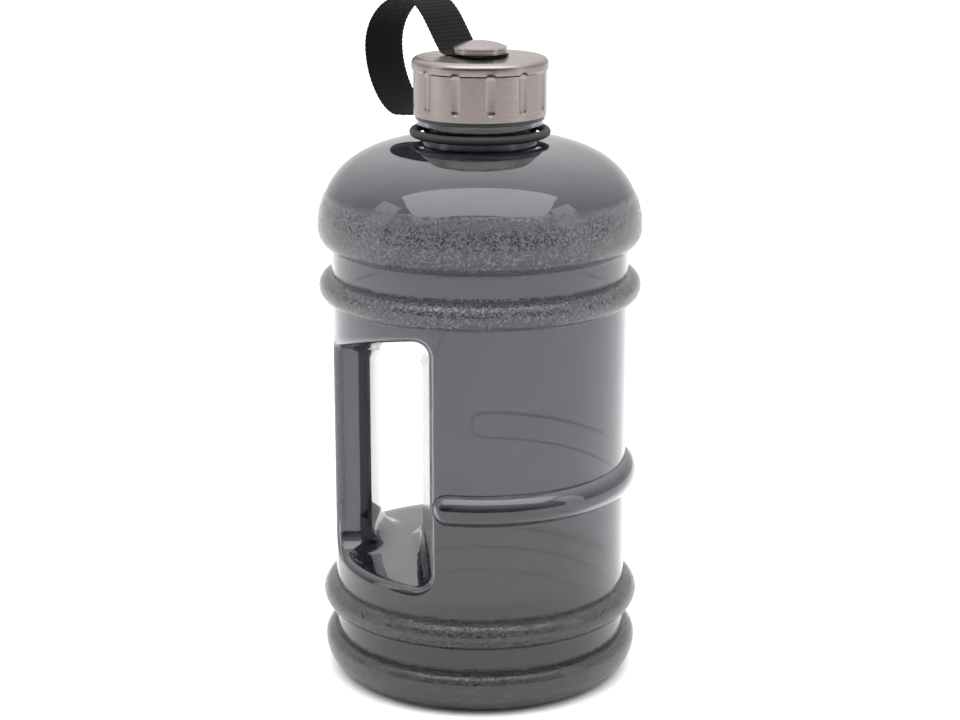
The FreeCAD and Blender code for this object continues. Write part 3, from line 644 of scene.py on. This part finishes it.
class JUG_OT_stitches(bpy.types.Operator):
    """Sew the strap's folded end with two rows of stitches"""

    bl_idname = "water_jug.stitches"
    bl_label = "Stitches"

    def execute(self, context):
        _, neck_out, neck_z = strap_line()
        thread = moulded("Twisted black polyester thread", linear("#202021"), 0.6, 0.0003, 0.00003)
        stitches = []
        for row in (2.4, 5.6):
            for place in (-2.7, -0.9, 0.9, 2.7):
                deselect()
                bpy.ops.mesh.primitive_uv_sphere_add(
                    segments=10, ring_count=6, radius=1.0,
                    location=(neck_out - row * MM, place * MM, neck_z + 0.52 * MM))
                stitch = bpy.context.view_layer.objects.active
                stitch.scale = STITCH
                bpy.ops.object.transform_apply(location=True, rotation=True, scale=True)
                stitches.append(stitch)
        deselect()
        for stitch in stitches:
            stitch.select_set(True)
        bpy.context.view_layer.objects.active = stitches[0]
        bpy.ops.object.join()
        sewn = bpy.context.view_layer.objects.active
        sewn.name = "Hem_stitches"
        turned_to_bearing(sewn.data)
        bpy.ops.object.shade_smooth()
        sewn.data.materials.append(thread)
        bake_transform(sewn)
        return {"FINISHED"}


class JUG_OT_stage(bpy.types.Operator):
    """Set the pale floor, the soft light and the camera"""

    bl_idname = "water_jug.stage"
    bl_label = "Stage"

    def execute(self, context):
        scene = context.scene
        settings = scene.stage_settings
        scene.view_settings.view_transform = "Standard"
        deselect()
        bpy.ops.mesh.primitive_plane_add(size=8, location=(0, 0, -0.0002))
        floor = bpy.context.view_layer.objects.active
        floor.name = "Floor"
        paint, _, shader = material("Matt white floor")
        shader.inputs["Base Color"].default_value = (*settings.floor, 1.0)
        shader.inputs["Roughness"].default_value = 0.9
        floor.data.materials.append(paint)
        for name, place, target, wide, tall, power in (
            ("Overhead softbox", (0.05, -0.45, 1.15), (0, 0, 0.2), 1.90, 0.80, 13.0),
            ("Left softbox", (-1.1, -0.35, 0.55), (0, 0, 0.15), 0.35, 1.0, 1.8),
            ("Right softbox", (1.1, -0.25, 0.55), (0, 0, 0.15), 0.35, 1.0, 1.8),
        ):
            lamp = bpy.data.lights.new(name, "AREA")
            lamp.shape = "RECTANGLE"
            lamp.size = wide
            lamp.size_y = tall
            lamp.energy = power
            softbox = bpy.data.objects.new(name, lamp)
            softbox.location = place
            aim = Vector(target) - Vector(place)
            softbox.rotation_euler = aim.to_track_quat("-Z", "Y").to_euler()
            scene.collection.objects.link(softbox)
        world = bpy.data.worlds.new("Studio")
        world.use_nodes = True
        tree = world.node_tree
        tree.nodes.clear()
        way = add(tree, "ShaderNodeTexCoord").outputs["Generated"]
        parts = add(tree, "ShaderNodeSeparateXYZ", {0: way}).outputs
        # The room is dim behind the camera, white ahead of it and brightest overhead.
        ahead = add(tree, "ShaderNodeMapRange", {
            "Value": parts[1], "From Min": -0.85, "From Max": 0.35, "To Min": 0.06, "To Max": 1.0},
            clamp=True)
        above = add(tree, "ShaderNodeMapRange", {
            "Value": parts[2], "From Min": 0.25, "From Max": 0.90, "To Min": 0.0, "To Max": 1.5},
            clamp=True)
        glow = math_node(tree, "ADD", ahead.outputs[0], above.outputs[0])
        sky = add(tree, "ShaderNodeBackground", {0: (1, 1, 1, 1), 1: glow})
        end = add(tree, "ShaderNodeOutputWorld")
        tree.links.new(sky.outputs[0], end.inputs[0])
        scene.world = world
        view = bpy.data.cameras.new("Camera")
        view.lens = settings.lens
        view.sensor_width = 36
        camera = bpy.data.objects.new("Camera", view)
        camera.location = CAMERA_PLACE
        camera.rotation_euler = (math.radians(90 - CAMERA_DOWN), 0, math.radians(CAMERA_ROUND))
        scene.collection.objects.link(camera)
        scene.camera = camera
        return {"FINISHED"}


class JUG_PT_panel(bpy.types.Panel):
    """The pieces of the jug, each with its button"""

    bl_idname = "JUG_PT_panel"
    bl_label = "Water Jug"
    bl_space_type = "VIEW_3D"
    bl_region_type = "UI"
    bl_category = "Water Jug"

    def draw(self, context):
        for operator in OPERATORS:
            self.layout.operator(operator.bl_idname)
        for settings in SETTINGS:
            box = self.layout.box()
            for name in SETTINGS[settings].__annotations__:
                box.prop(getattr(context.scene, settings), name)


OPERATORS = (JUG_OT_body, JUG_OT_cap, JUG_OT_ring, JUG_OT_strap, JUG_OT_stitches, JUG_OT_stage)
SETTINGS = {
    "jug_finish": JugFinish,
    "cap_finish": CapFinish,
    "strap_shape": StrapShape,
    "stage_settings": StageSettings,
}


def register():
    """Add the settings, the operators and the panel."""
    for name, group in SETTINGS.items():
        bpy.utils.register_class(group)
        setattr(bpy.types.Scene, name, bpy.props.PointerProperty(type=group))
    for operator in OPERATORS:
        bpy.utils.register_class(operator)
    bpy.utils.register_class(JUG_PT_panel)


def unregister():
    """Take the panel, the operators and the settings away again."""
    bpy.utils.unregister_class(JUG_PT_panel)
    for operator in reversed(OPERATORS):
        bpy.utils.unregister_class(operator)
    for name, group in reversed(SETTINGS.items()):
        delattr(bpy.types.Scene, name)
        bpy.utils.unregister_class(group)


def main():
    """Build every piece and the stage."""
    register()
    bpy.ops.water_jug.body()
    bpy.ops.water_jug.cap()
    bpy.ops.water_jug.ring()
    bpy.ops.water_jug.strap()
    bpy.ops.water_jug.stitches()
    bpy.ops.water_jug.stage()


if __name__ == "__main__":
    main()
